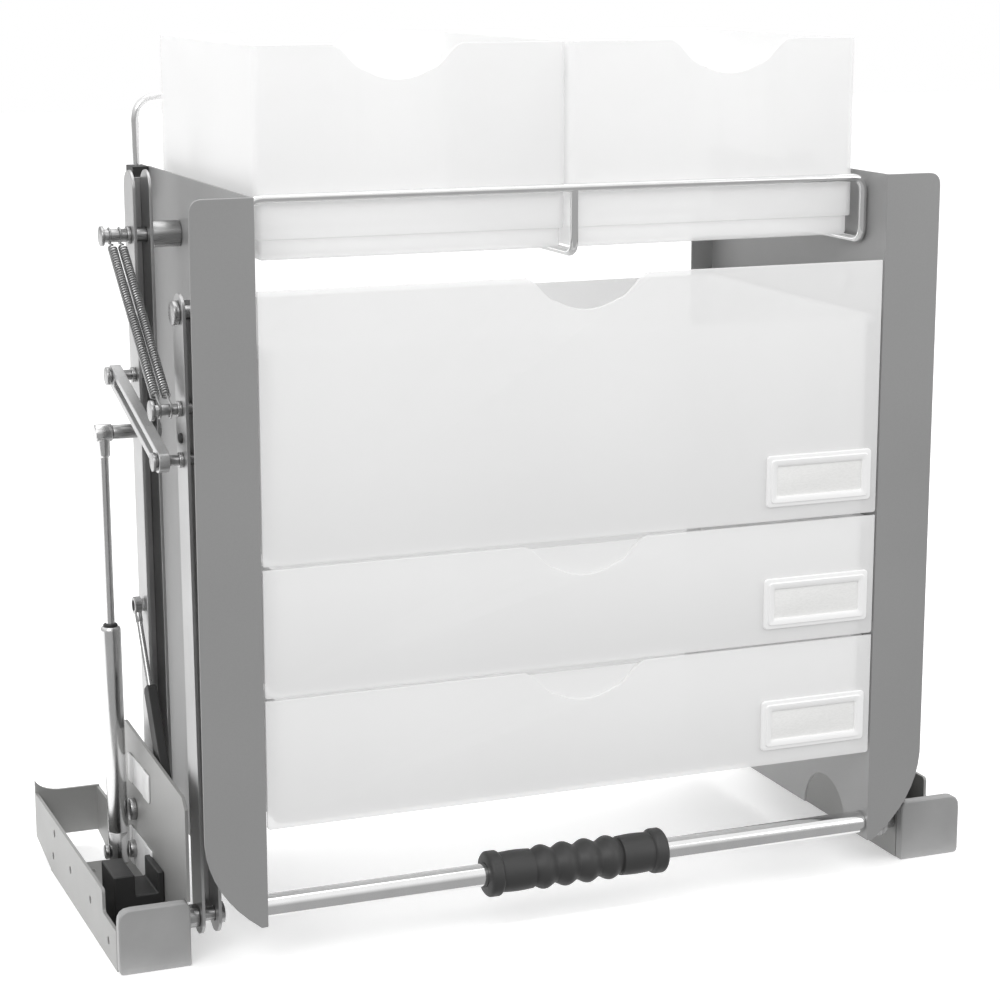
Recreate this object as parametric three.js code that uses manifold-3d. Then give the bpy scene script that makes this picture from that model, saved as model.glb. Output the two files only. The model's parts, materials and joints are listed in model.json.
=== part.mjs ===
// Pull-down shelf lift for a wall cabinet: two floor frames, a swinging parallelogram of arms on
// each side, gas struts, tension springs and dampers, and a carriage with drawers and storage bins.
// Millimetres. X is across the cabinet, Y runs to the rear, Z is up and 0 is the cabinet's floor.
// Most sizes across the cabinet are given as a distance from the middle, and hold for both sides.

import * as THREE from 'three';
import { mergeVertices } from 'three/addons/utils/BufferGeometryUtils.js';
import Module from 'manifold-3d';

const wasm = await Module();
wasm.setup();

// ---------------------------------------------------------------- driving dimensions

const WIDTH = 564;
const HALF_WIDTH = WIDTH / 2;
const GAP = 0.3;
const SHEET = 2;
const SIDES = [['left', -1], ['right', 1]];

const BASE = {
  inner: 239, front: 24, rear: 257, capDepth: 7, capHeight: 39.6, wallTop: 39, floorRear: 214,
  plateTopFront: 102, plateTopRear: 110, plateRear: 176, rearWallBottom: 9, rearWallTop: 40, earTop: 48,
  wallStep: 65, lowWallTop: 25,
};
const WALL_HOLES = [[52, 12], [98, 21], [153, 21], [204, 13], [198, 30]];
const FLOOR_HOLES = [[259, 70, 4], [259, 197, 2.5]];

const ARM = { inner: 219, outer: 231, width: 22, wall: 2, length: 358 };
const LEAN = THREE.MathUtils.degToRad(1.5);
const FRONT_PIVOT = { y: 39, z: 25 };
const REAR_PIVOT = { y: 147, z: 58 };
const FRONT_TAIL = 11;
const REAR_TAIL = 39;
const PIVOT_HOLE = 4.6;
const PIN_HOLE = 3.8;

const LINK = {
  reach: 273.5, inner: 239.6, outer: 246, width: 13, grooveWidth: 5, grooveDepth: 4, pinEnd: 249,
};
const SPRING = { lowReach: 303, radius: 3, planes: [237.4, 243.7], endGap: 6.5, pinEnd: 249.2 };
const STRUT = {
  plane: 252, footY: 147, footZ: 32, reach: 239, bodyStart: -9, bodyEnd: 144.5, radius: 6.3, pin: 3,
  bore: 3.2, boreStart: 20, rod: 2.8, rodStart: 56, head: 5.4,
};
const CRADLE = { outer: 272, front: 76, rear: 109, top: 41, slotFloor: 28, slotInner: 245.2, slotOuter: 259.2 };
const DAMPER = {
  inner: 232.2, outer: 237.8, footY: 92, footZ: 92, reach: 130, width: 12, bodyEnd: 60, bore: 2.1,
  boreStart: 6, rod: 1.8, rodStart: 46, eye: 5.5, stud: 2.9,
};

const PLATE = {
  web: 199, thickness: 1.5, flange: 236, bottom: 27, top: 451, rear: 235, rearFlange: 183,
  postOuter: 209, postFront: 226, postBottom: 40,
};
const WIRE = 2.5;
const WIRE_SIDES = 8;
const SHELF_Z = 409.2;
const GUARD_Y = 24;
const GUARD_TOP = 447.5;
const HOLDER = { outer: 211, front: 226, rear: 243, bottom: 431, wireX: 205.5, wireY: 238, bore: 2.9 };
const REAR_GUARD_TOP = 493.5;
const HANDLE = { y: 9, z: 37, radius: 7, inner: 5.6, gripStart: -60, gripEnd: 58 };
const GRIP = { end: 14, waist: 11.2, rib: 13.4, collar: 12, ribPitch: 16.5, ribs: 4 };

const DRAWER = {
  front: 0.6, frontThickness: 2.6, halfFront: 198, half: 191.5, wall: 2.2, rear: 226, lip: 196.9,
};
const DRAWERS = [
  { name: 'top', bottom: 242, top: 399, sideTop: 365, labelBottom: 251 },
  { name: 'middle', bottom: 164.5, top: 240, sideTop: 238, labelBottom: 174 },
  { name: 'bottom', bottom: 86, top: 163, sideTop: 161, labelBottom: 96 },
];
const NOTCH = { half: 40, depth: 20 };
const LABEL = { start: 121, end: 193, height: 32, frame: 6, depth: 2.5 };
const RUNNER = { inner: 192.4, height: 2.4, stripStart: 100, stripEnd: 140 };
const BIN = { inner: 1, outer: 190.7, front: 27, rear: 232.5, bottom: 412.2, step: 12, inset: 2.5, top: 532 };
const BIN_WALL = 2.2;

const DEPTH_CENTRE = (HANDLE.y - GRIP.end + BASE.rear) / 2;

// ---------------------------------------------------------------- materials

const paint = (color, metalness, roughness, extra = {}) =>
  new THREE.MeshStandardMaterial({ color, metalness, roughness, ...extra });
const GREY_STEEL = paint(0x9a9a9a, 0.5, 0.45);
const BASE_STEEL = paint(0xa8a8a4, 0.5, 0.45);
const ARM_STEEL = paint(0xb4b4b0, 0.8, 0.35);
const CHROME = paint(0xd8d8d8, 1, 0.12);
const SPRING_STEEL = paint(0x8c8c8c, 0.9, 0.35);
const BLACK_PLASTIC = paint(0x2c2d2d, 0, 0.5);
const GREY_PLASTIC = paint(0x9b9b9b, 0, 0.5);
const RUBBER = paint(0x3a3c3b, 0, 0.75);
const FROSTED = paint(0xeaeae8, 0, 0.4, { transparent: true, opacity: 0.7 });
const CLEAR_FRAME = paint(0xf2f2f2, 0, 0.25, { transparent: true, opacity: 0.8 });

// ---------------------------------------------------------------- solids

const BASIS_X = new THREE.Matrix4().makeBasis(
  new THREE.Vector3(0, 1, 0), new THREE.Vector3(0, 0, 1), new THREE.Vector3(1, 0, 0));
const BASIS_Y = new THREE.Matrix4().makeBasis(
  new THREE.Vector3(1, 0, 0), new THREE.Vector3(0, 0, 1), new THREE.Vector3(0, -1, 0));
const BASIS_TURN_X = new THREE.Matrix4().makeBasis(
  new THREE.Vector3(0, -1, 0), new THREE.Vector3(1, 0, 0), new THREE.Vector3(0, 0, 1));

// Six times the volume that the triangles enclose, negative when they face inwards.
function signedVolume(positions, triangles) {
  const [a, b, c] = [new THREE.Vector3(), new THREE.Vector3(), new THREE.Vector3()];
  let sum = 0;
  for (let i = 0; i < triangles.length; i += 3) {
    a.fromArray(positions, 3 * triangles[i]);
    b.fromArray(positions, 3 * triangles[i + 1]);
    c.fromArray(positions, 3 * triangles[i + 2]);
    sum += a.dot(b.cross(c));
  }
  return sum;
}

// A closed geometry as a solid that can be joined and cut, whichever way its faces were wound.
function solid(geometry) {
  const bare = geometry.clone();
  bare.deleteAttribute('normal');
  bare.deleteAttribute('uv');
  const merged = mergeVertices(bare, 1e-3);
  const source = merged.index.array;
  const kept = [];
  for (let i = 0; i < source.length; i += 3) {
    const [a, b, c] = [source[i], source[i + 1], source[i + 2]];
    if (a !== b && b !== c && c !== a) kept.push(a, b, c);
  }
  const vertProperties = new Float32Array(merged.attributes.position.array);
  if (signedVolume(vertProperties, kept) < 0) kept.reverse();
  return new wasm.Manifold(new wasm.Mesh({ numProp: 3, vertProperties, triVerts: new Uint32Array(kept) }));
}

function geometryOf(body) {
  const mesh = body.getMesh();
  const geometry = new THREE.BufferGeometry();
  geometry.setAttribute('position', new THREE.BufferAttribute(new Float32Array(mesh.vertProperties), 3));
  geometry.setIndex(new THREE.BufferAttribute(new Uint32Array(mesh.triVerts), 1));
  geometry.computeVertexNormals();
  return geometry;
}

const join = (...bodies) => bodies.reduce((whole, body) => whole.add(body));
const cut = (body, ...tools) => tools.reduce((whole, tool) => whole.subtract(tool), body);

function box(x0, x1, y0, y1, z0, z1) {
  const geometry = new THREE.BoxGeometry(Math.abs(x1 - x0), Math.abs(y1 - y0), Math.abs(z1 - z0));
  geometry.translate((x0 + x1) / 2, (y0 + y1) / 2, (z0 + z1) / 2);
  return solid(geometry);
}

// A shape drawn in Y and Z, with thickness from x0 to x1.
function prismX(shape, x0, x1, curveSegments = 6) {
  const depth = Math.abs(x1 - x0);
  const geometry = new THREE.ExtrudeGeometry(shape, { depth, bevelEnabled: false, curveSegments });
  geometry.applyMatrix4(BASIS_X);
  geometry.translate(Math.min(x0, x1), 0, 0);
  return solid(geometry);
}

// A shape drawn in X and Z, with thickness from y0 to y1.
function prismY(shape, y0, y1, curveSegments = 6) {
  const geometry = new THREE.ExtrudeGeometry(shape, { depth: y1 - y0, bevelEnabled: false, curveSegments });
  geometry.applyMatrix4(BASIS_Y);
  geometry.translate(0, y1, 0);
  return solid(geometry);
}

// A body turned about an axis along X at (y, z), from [distance from the middle, radius] pairs.
function turnX(side, y, z, steps, segments = 12) {
  const profile = [[steps[0][0], 0], ...steps, [steps.at(-1)[0], 0]];
  const points = profile.map(([x, r]) => new THREE.Vector2(r, side * x));
  const geometry = new THREE.LatheGeometry(points, segments);
  geometry.applyMatrix4(BASIS_TURN_X);
  geometry.translate(0, y, z);
  return solid(geometry);
}

// A body turned about the upright axis through (x, 0), from [height, radius] pairs.
function turnZ(x, steps, segments = 18) {
  const profile = [[steps[0][0], 0], ...steps, [steps.at(-1)[0], 0]];
  const geometry = new THREE.LatheGeometry(profile.map(([z, r]) => new THREE.Vector2(r, z)), segments);
  geometry.rotateX(Math.PI / 2);
  geometry.translate(x, 0, 0);
  return solid(geometry);
}

const discX = (side, y, z, radius, x0, x1, segments = 12) =>
  turnX(side, y, z, [[x0, radius], [x1, radius]], segments);

function outline(points) {
  return new THREE.Shape(points.map(([a, b]) => new THREE.Vector2(a, b)));
}

// An upright bar with round ends in Y and Z, centred on y, from its lower to its upper end centre.
function barShape(y, z0, z1, radius) {
  const shape = new THREE.Shape();
  shape.moveTo(y + radius, z0);
  shape.lineTo(y + radius, z1);
  shape.absarc(y, z1, radius, 0, Math.PI, false);
  shape.lineTo(y - radius, z0);
  shape.absarc(y, z0, radius, Math.PI, 2 * Math.PI, false);
  return shape;
}

// A path along the given vertices, whose steps fall on the vertices themselves.
class VertexPath extends THREE.Curve {
  constructor(vertices) {
    super();
    this.vertices = vertices;
  }

  getPoint(t, target = new THREE.Vector3()) {
    const place = t * (this.vertices.length - 1);
    const i = Math.min(Math.floor(place + 1e-9), this.vertices.length - 2);
    return target.copy(this.vertices[i]).lerp(this.vertices[i + 1], Math.max(place - i, 0));
  }

  getPointAt(u, target) {
    return this.getPoint(u, target);
  }

  getTangentAt(u, target = new THREE.Vector3()) {
    const last = this.vertices.length - 1;
    const i = Math.round(u * last);
    const before = this.vertices[Math.max(i - 1, 0)];
    const here = this.vertices[i];
    const after = this.vertices[Math.min(i + 1, last)];
    const arriving = here.clone().sub(before).normalize();
    const leaving = after.clone().sub(here).normalize();
    return target.copy(arriving).add(leaving).normalize();
  }
}

// The vertices of a wire bent at each of its inner corners.
function bend(corners, radius, steps = 5) {
  const points = corners.map((corner) => new THREE.Vector3(...corner));
  const vertices = [points[0]];
  for (let i = 1; i < points.length - 1; i += 1) {
    const towards = (other) => other.clone().sub(points[i]).normalize().multiplyScalar(radius).add(points[i]);
    const curve = new THREE.QuadraticBezierCurve3(towards(points[i - 1]), points[i], towards(points[i + 1]));
    vertices.push(...curve.getPoints(steps));
  }
  vertices.push(points.at(-1));
  return vertices;
}

function wire(corners, bendRadius) {
  const vertices = corners.length > 2 ? bend(corners, bendRadius) : corners.map((c) => new THREE.Vector3(...c));
  const section = new THREE.Shape();
  for (let i = 0; i < WIRE_SIDES; i += 1) {
    const angle = (i + 0.5) * 2 * Math.PI / WIRE_SIDES;
    const [x, y] = [WIRE * Math.cos(angle), WIRE * Math.sin(angle)];
    if (i === 0) section.moveTo(x, y);
    else section.lineTo(x, y);
  }
  const extrudePath = new VertexPath(vertices);
  return solid(new THREE.ExtrudeGeometry(section, { steps: vertices.length - 1, extrudePath }));
}

// ---------------------------------------------------------------- where the linkage sits at rest

const alongArm = (pivot, reach) => ({
  y: pivot.y + reach * Math.sin(LEAN),
  z: pivot.z + reach * Math.cos(LEAN),
});
const FRONT_TOP = alongArm(FRONT_PIVOT, ARM.length);
const REAR_TOP = alongArm(REAR_PIVOT, ARM.length);
const LINK_LOW = alongArm(FRONT_PIVOT, LINK.reach);
const LINK_HIGH = alongArm(REAR_PIVOT, LINK.reach);
const SPRING_LOW = alongArm(FRONT_PIVOT, SPRING.lowReach);
const STRUT_TOP = alongArm(REAR_PIVOT, STRUT.reach);
const DAMPER_TOP = alongArm(REAR_PIVOT, DAMPER.reach);

const distance = (a, b) => Math.hypot(b.y - a.y, b.z - a.z);
// Turn about X that takes an upright piece to the direction from a to b.
const tiltTo = (a, b) => Math.atan2(-(b.y - a.y), b.z - a.z);

const model = new THREE.Group();
model.position.set(0, -DEPTH_CENTRE, 0);

function add(name, material, body, place = { y: 0, z: 0 }, tilt = 0) {
  const mesh = new THREE.Mesh(geometryOf(body), material);
  mesh.name = name;
  mesh.position.set(0, place.y, place.z);
  mesh.rotation.x = tilt;
  model.add(mesh);
}

// ---------------------------------------------------------------- floor frames, fixed to the cabinet

function outerWallShape() {
  const start = BASE.front + BASE.capDepth + GAP;
  const shape = new THREE.Shape();
  shape.moveTo(start, 0);
  shape.lineTo(BASE.floorRear - 6, 0);
  shape.lineTo(BASE.rear, BASE.rearWallBottom);
  shape.lineTo(BASE.rear, BASE.wallTop);
  shape.lineTo(BASE.wallStep + 3, BASE.wallTop);
  shape.quadraticCurveTo(BASE.wallStep, BASE.wallTop, BASE.wallStep, BASE.wallTop - 3);
  shape.lineTo(BASE.wallStep, BASE.lowWallTop + 3);
  shape.quadraticCurveTo(BASE.wallStep, BASE.lowWallTop, BASE.wallStep - 3, BASE.lowWallTop);
  shape.lineTo(start, BASE.lowWallTop);
  return shape;
}

function tallPlateShape() {
  const start = BASE.front + BASE.capDepth + GAP;
  return outline([
    [start, 0], [BASE.floorRear - 6, 0], [BASE.rear, BASE.rearWallBottom], [BASE.rear, BASE.wallTop],
    [BASE.plateRear + 26, BASE.wallTop], [BASE.plateRear, BASE.plateTopRear - 8],
    [BASE.plateRear - 8, BASE.plateTopRear], [BASE.front + 6, BASE.plateTopFront],
    [BASE.front, BASE.plateTopFront - 6], [BASE.front, BASE.capHeight + GAP], [start, BASE.capHeight + GAP],
  ]);
}

function rearWallShape(side) {
  const [inner, outer] = [side * BASE.inner, side * HALF_WIDTH];
  const shape = new THREE.Shape();
  shape.moveTo(inner, BASE.rearWallBottom);
  shape.lineTo(outer, BASE.rearWallBottom);
  shape.lineTo(outer, BASE.earTop);
  shape.quadraticCurveTo(outer - side * 3, BASE.rearWallTop + 1, outer - side * 16, BASE.rearWallTop);
  shape.lineTo(inner, BASE.rearWallTop);
  return shape;
}

function baseFrame(side) {
  const start = BASE.front + BASE.capDepth + GAP;
  const floor = box(side * BASE.inner, side * HALF_WIDTH, start, BASE.floorRear, 0, SHEET);
  const outerWall = prismX(outerWallShape(), side * (HALF_WIDTH - SHEET), side * HALF_WIDTH);
  const tallPlate = prismX(tallPlateShape(), side * BASE.inner, side * (BASE.inner + SHEET));
  const rearWall = prismY(rearWallShape(side), BASE.rear - SHEET, BASE.rear);
  const stud = discX(side, DAMPER.footY, DAMPER.footZ, DAMPER.stud, DAMPER.inner - 0.4, BASE.inner + 0.5);
  const wallHoles = WALL_HOLES.map(([y, z]) => discX(side, y, z, 2.6, HALF_WIDTH - 4, HALF_WIDTH + 2, 10));
  const floorHoles = FLOOR_HOLES.map(([x, y, r]) => box(side * (x - r), side * (x + r), y - r, y + r, -1, 3));
  const boltHoles = [FRONT_PIVOT, REAR_PIVOT].map(
    ({ y, z }) => discX(side, y, z, PIVOT_HOLE, BASE.inner - 2, BASE.inner + 4));
  const pinHole = discX(side, STRUT.footY, STRUT.footZ, STRUT.pin + GAP, BASE.inner - 2, BASE.inner + 4);
  const holes = [...wallHoles, ...floorHoles, ...boltHoles, pinHole];
  return cut(join(floor, outerWall, tallPlate, rearWall, stud), ...holes);
}

function frontCap(side) {
  const [inner, outer] = [BASE.inner * side, HALF_WIDTH * side];
  const shape = new THREE.Shape();
  shape.moveTo(inner, 0);
  shape.lineTo(outer - side * 3, 0);
  shape.quadraticCurveTo(outer, 0, outer, 3);
  shape.lineTo(outer, BASE.capHeight - 8);
  shape.quadraticCurveTo(outer, BASE.capHeight, outer - side * 8, BASE.capHeight);
  shape.lineTo(inner + side * 5, BASE.capHeight);
  shape.quadraticCurveTo(inner, BASE.capHeight, inner, BASE.capHeight - 5);
  return prismY(shape, BASE.front, BASE.front + BASE.capDepth, 4);
}

// A moulded block on the floor, with a slot that the strut drops into when the lift is down.
function strutCradle(side) {
  const { outer, front, rear, top, slotFloor, slotInner, slotOuter } = CRADLE;
  const block = box(side * (BASE.inner + SHEET + GAP), side * outer, front, rear, SHEET + GAP, top);
  const slot = box(side * slotInner, side * slotOuter, front - 1, rear + 1, slotFloor, top + 1);
  return cut(block, slot);
}

// Riveted through the tall plate, with a shoulder on each side of the strut.
function strutBasePin(side) {
  const { plane, radius, pin } = STRUT;
  const [inner, outer] = [BASE.inner - GAP, BASE.inner + SHEET + GAP];
  const clear = radius + 0.4;
  return turnX(side, STRUT.footY, STRUT.footZ, [
    [inner - 2, 5], [inner, 5], [inner, pin], [outer, pin], [outer, 5.5], [plane - clear, 5.5],
    [plane - clear, pin], [plane + clear, pin], [plane + clear, 4.6], [plane + clear + 2.2, 4.6],
  ]);
}

const baseBolt = (side, pivot) => turnX(side, pivot.y, pivot.z, [
  [ARM.inner - 3.6, 5], [ARM.inner - 2.6, 6.5], [ARM.inner - GAP, 6.5], [ARM.inner - GAP, 4],
  [ARM.outer + GAP, 4], [ARM.outer + GAP, 7], [BASE.inner - GAP, 7], [BASE.inner - GAP, 4],
  [BASE.inner + SHEET + GAP, 4], [BASE.inner + SHEET + GAP, 7], [BASE.inner + SHEET + 2.6, 7],
  [BASE.inner + SHEET + 3.8, 5],
]);

// ---------------------------------------------------------------- swinging arms and what ties them

// A channel arm, open towards the front, drawn upright from its lower pivot.
function arm(side, tail, pinReaches) {
  const radius = ARM.width / 2;
  const top = ARM.length + tail - radius;
  const whole = prismX(barShape(0, 0, top, radius), side * ARM.inner, side * ARM.outer);
  const hollow = box(side * (ARM.inner + ARM.wall), side * (ARM.outer - ARM.wall), -radius - 1,
    radius - ARM.wall, -radius - 1, top + radius + 1);
  const pivotHoles = [0, ARM.length].map((z) => discX(side, 0, z, PIVOT_HOLE, ARM.inner - 1, ARM.outer + 1, 12));
  const pinHoles = pinReaches.map((z) => discX(side, 0, z, PIN_HOLE, ARM.inner - 1, ARM.outer + 1, 10));
  return cut(whole, hollow, ...pivotHoles, ...pinHoles);
}

// A riveted pin that stands out from an arm, with a collar at its free end.
const armPin = (side, place, end, collar) => turnX(side, place.y, place.z, [
  [ARM.inner - 2.5, 5], [ARM.inner - GAP, 5], [ARM.inner - GAP, 3.2], [ARM.outer + GAP, 3.2],
  [ARM.outer + GAP, 4.6], [ARM.outer + 2.4, 4.6], [ARM.outer + 2.4, 3.2], [end - 2.4, 3.2], [end - 2.4, collar],
  [end, collar],
]);

const strutTopPin = (side) => turnX(side, STRUT_TOP.y, STRUT_TOP.z, [
  [ARM.inner - 2.5, 5], [ARM.inner - GAP, 5], [ARM.inner - GAP, 3.2], [ARM.outer + GAP, 3.2],
  [ARM.outer + GAP, 4.4], [STRUT.plane - STRUT.head - GAP, 4.4],
]);

// A grooved bar between the arms, drawn upright from its lower pin.
function tieLink(side) {
  const length = distance(LINK_LOW, LINK_HIGH);
  const whole = prismX(barShape(0, 0, length, LINK.width / 2), side * LINK.inner, side * LINK.outer);
  const groove = box(side * (LINK.outer - LINK.grooveDepth), side * (LINK.outer + 1), -LINK.grooveWidth / 2,
    LINK.grooveWidth / 2, 9, length - 9);
  const holes = [0, length].map((z) => discX(side, 0, z, PIN_HOLE, LINK.inner - 1, LINK.outer + 1, 12));
  return cut(whole, groove, ...holes);
}

// The outer shape of a close-wound tension spring, drawn upright from its lower pin.
function liftSpring(side, plane) {
  const length = distance(SPRING_LOW, REAR_TOP);
  const { endGap, radius } = SPRING;
  return turnZ(side * plane, [
    [endGap, radius - 1.5], [endGap + 3, radius], [length - endGap - 3, radius], [length - endGap, radius - 1.5],
  ], 12);
}

// ---------------------------------------------------------------- gas struts and dampers

function strutCylinder(side) {
  const { plane, bodyStart, bodyEnd, radius, pin, bore, boreStart } = STRUT;
  const body = turnZ(side * plane, [
    [bodyStart, radius - 1.5], [bodyStart + 1.5, radius], [bodyEnd - 1.5, radius], [bodyEnd, radius - 1],
  ]);
  const pinHole = discX(side, 0, 0, pin + GAP, plane - 10, plane + 10);
  const rodBore = turnZ(side * plane, [[boreStart, bore], [bodyEnd + 1, bore]], 12);
  return cut(body, pinHole, rodBore);
}

function strutRod(side) {
  const { plane, rod, rodStart, head } = STRUT;
  const length = distance({ y: STRUT.footY, z: STRUT.footZ }, STRUT_TOP);
  const shaft = turnZ(side * plane, [
    [rodStart, rod], [length - 14, rod], [length - 14, rod + 1.2], [length - 3, rod + 1.2],
  ], 12);
  const socket = discX(side, 0, length, head, plane - head, plane + head, 16);
  return join(shaft, socket);
}

function damperBody(side) {
  const { inner, outer, width, bodyEnd, bore, boreStart, stud } = DAMPER;
  const middle = side * (inner + outer) / 2;
  const shape = new THREE.Shape();
  shape.moveTo(width / 2, bodyEnd - 2);
  shape.lineTo(width / 2 - 2, bodyEnd);
  shape.lineTo(2 - width / 2, bodyEnd);
  shape.lineTo(-width / 2, bodyEnd - 2);
  shape.absarc(0, 0, width / 2, Math.PI, 2 * Math.PI, false);
  const studHole = discX(side, 0, 0, stud + GAP, inner - 1, outer + 1);
  const rodBore = turnZ(middle, [[boreStart, bore], [bodyEnd + 1, bore]], 10);
  return cut(prismX(shape, side * inner, side * outer), studHole, rodBore);
}

function damperRod(side) {
  const { inner, outer, rod, rodStart, eye } = DAMPER;
  const middle = side * (inner + outer) / 2;
  const length = distance({ y: DAMPER.footY, z: DAMPER.footZ }, DAMPER_TOP);
  const shaft = turnZ(middle, [[rodStart, rod], [length - eye + 1, rod]], 10);
  const ring = discX(side, 0, length, eye, inner + 0.6, outer - 0.6);
  const hole = discX(side, 0, length, eye - 2, inner, outer);
  return join(shaft, cut(ring, hole));
}

// ---------------------------------------------------------------- carriage

function flangeShape(side) {
  const { web, flange, bottom, top } = PLATE;
  const shape = new THREE.Shape();
  shape.moveTo(side * web, bottom);
  shape.lineTo(side * (web + 4), bottom);
  shape.quadraticCurveTo(side * (flange - 2), 50, side * flange, 82);
  shape.lineTo(side * flange, top - 8);
  shape.quadraticCurveTo(side * flange, top, side * (flange - 8), top);
  shape.lineTo(side * web, top);
  return shape;
}

// The web's lower edge has an arch that clears the front arm's lower pivot.
function webShape() {
  const { bottom, top, rear } = PLATE;
  const arch = { y: 56, radius: 27 };
  const shape = new THREE.Shape();
  shape.moveTo(0, bottom);
  shape.lineTo(arch.y - arch.radius, bottom);
  shape.absarc(arch.y, bottom, arch.radius, Math.PI, 0, true);
  shape.lineTo(rear, bottom);
  shape.lineTo(rear, top - 6);
  shape.quadraticCurveTo(rear, top, rear - 6, top);
  shape.lineTo(0, top);
  return shape;
}

function sidePlate(side) {
  const { web, thickness, rear, rearFlange, postOuter, postFront, postBottom, top } = PLATE;
  const webBody = prismX(webShape(), side * web, side * (web + thickness), 10);
  const flange = prismY(flangeShape(side), 0, thickness, 8);
  const rearFold = box(side * rearFlange, side * (web + 0.5), rear - thickness, rear, PLATE.bottom, top - 46);
  const post = box(side * (web + 0.5), side * postOuter, postFront, rear, postBottom, HOLDER.bottom - GAP);
  const holes = [FRONT_TOP, REAR_TOP].map(({ y, z }) => discX(side, y, z, PIVOT_HOLE, web - 2, web + 4));
  return cut(join(webBody, flange, rearFold, post), ...holes);
}

// A bolt that carries the side plate on an arm, with a spacer between them.
function carriageBolt(side, place, innerEnd, outerEnd) {
  const { web, thickness } = PLATE;
  return turnX(side, place.y, place.z, [
    ...innerEnd, [web + thickness + GAP, 4], [web + thickness + GAP, 8], [ARM.inner - GAP, 8],
    [ARM.inner - GAP, 4], [ARM.outer + GAP, 4], ...outerEnd,
  ]);
}

const HEAD_END = [[PLATE.web - 3.2, 5], [PLATE.web - 2.4, 7], [PLATE.web - GAP, 7], [PLATE.web - GAP, 4]];
const FLUSH_END = [[PLATE.web, 4]];
const SHORT_END = [[ARM.outer + GAP, 7], [ARM.outer + 2.4, 7], [ARM.outer + 3.6, 5]];
const SPRING_END = [[SPRING.pinEnd - 2, 4], [SPRING.pinEnd - 2, 6], [SPRING.pinEnd, 6]];

// Three ledges that carry the drawers, on one upright strip.
function runnerRack(side) {
  const { inner, height, stripStart, stripEnd } = RUNNER;
  const outer = side * (PLATE.web - GAP);
  const tops = DRAWERS.map(({ sideTop }) => sideTop - DRAWER.wall - GAP);
  const ledges = tops.map((top) => box(side * inner, outer, 8, 222, top - height, top));
  const strip = box(side * (PLATE.web - 1.8), outer, stripStart, stripEnd, tops.at(-1) - height, tops[0] - 1);
  return join(strip, ...ledges);
}

function wireHolder(side) {
  const { outer, front, rear, bottom, wireX, wireY, bore } = HOLDER;
  const block = box(side * (PLATE.web + PLATE.thickness + GAP), side * outer, front, rear, bottom, PLATE.top);
  const hole = turnZ(side * wireX, [[bottom + 5, bore], [PLATE.top + 1, bore]], 12).translate([0, wireY, 0]);
  return cut(block, hole);
}

// The wire shelf under the bins, in one piece with the rail in front of them.
function binShelf() {
  const halfSpan = PLATE.web - GAP - WIRE;
  const rearEnd = 228;
  const [z, top] = [SHELF_Z, GUARD_TOP];
  const loop = wire([
    [-halfSpan, rearEnd, z], [-halfSpan, GUARD_Y, z], [-halfSpan, GUARD_Y, top],
    [halfSpan, GUARD_Y, top], [halfSpan, GUARD_Y, z], [halfSpan, rearEnd, z],
  ], 8);
  const middle = wire([[3, GUARD_Y, top], [3, GUARD_Y, z], [3, rearEnd, z]], 8);
  const rearCross = wire([[-halfSpan, rearEnd - 4, z], [halfSpan, rearEnd - 4, z]], 0);
  return join(loop, middle, rearCross);
}

function rearGuard() {
  const { wireX, wireY, bottom } = HOLDER;
  return wire([
    [-wireX, wireY, bottom + 6], [-wireX, wireY, REAR_GUARD_TOP], [wireX, wireY, REAR_GUARD_TOP],
    [wireX, wireY, bottom + 6],
  ], 16);
}

function handleTube() {
  const end = PLATE.web - GAP;
  const outer = turnX(1, HANDLE.y, HANDLE.z, [[-end, HANDLE.radius], [end, HANDLE.radius]], 20);
  return cut(outer, turnX(1, HANDLE.y, HANDLE.z, [[-end - 1, HANDLE.inner], [end + 1, HANDLE.inner]], 14));
}

function handleGrip() {
  const { end, waist, rib, collar, ribPitch, ribs } = GRIP;
  const { gripStart, gripEnd } = HANDLE;
  const middle = (gripStart + gripEnd) / 2;
  const steps = [
    [gripStart, end - 2.5], [gripStart + 2.5, end], [gripStart + collar - 3, end], [gripStart + collar, waist + 0.6],
  ];
  for (let i = 0; i < ribs; i += 1) {
    const x = middle + (i - (ribs - 1) / 2) * ribPitch;
    steps.push([x - 6, waist], [x - 2, rib], [x + 2, rib], [x + 6, waist]);
  }
  steps.push([gripEnd - collar, waist + 0.6], [gripEnd - collar + 3, end], [gripEnd - 2.5, end], [gripEnd, end - 2.5]);
  const bore = turnX(1, HANDLE.y, HANDLE.z,
    [[gripStart - 1, HANDLE.radius + GAP + 0.1], [gripEnd + 1, HANDLE.radius + GAP + 0.1]], 20);
  return cut(turnX(1, HANDLE.y, HANDLE.z, steps, 20), bore);
}

// ---------------------------------------------------------------- drawers and bins

// A panel with a finger notch in its upper edge.
function notchedPanel(x0, x1, z0, z1, notchX) {
  const { half, depth } = NOTCH;
  const low = z1 - depth;
  const shape = new THREE.Shape();
  shape.moveTo(x0, z0);
  shape.lineTo(x1, z0);
  shape.lineTo(x1, z1);
  shape.lineTo(notchX + half, z1);
  shape.bezierCurveTo(notchX + half * 0.72, z1, notchX + half * 0.6, low, notchX, low);
  shape.bezierCurveTo(notchX - half * 0.6, low, notchX - half * 0.72, z1, notchX - half, z1);
  shape.lineTo(x0, z1);
  return shape;
}

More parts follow.
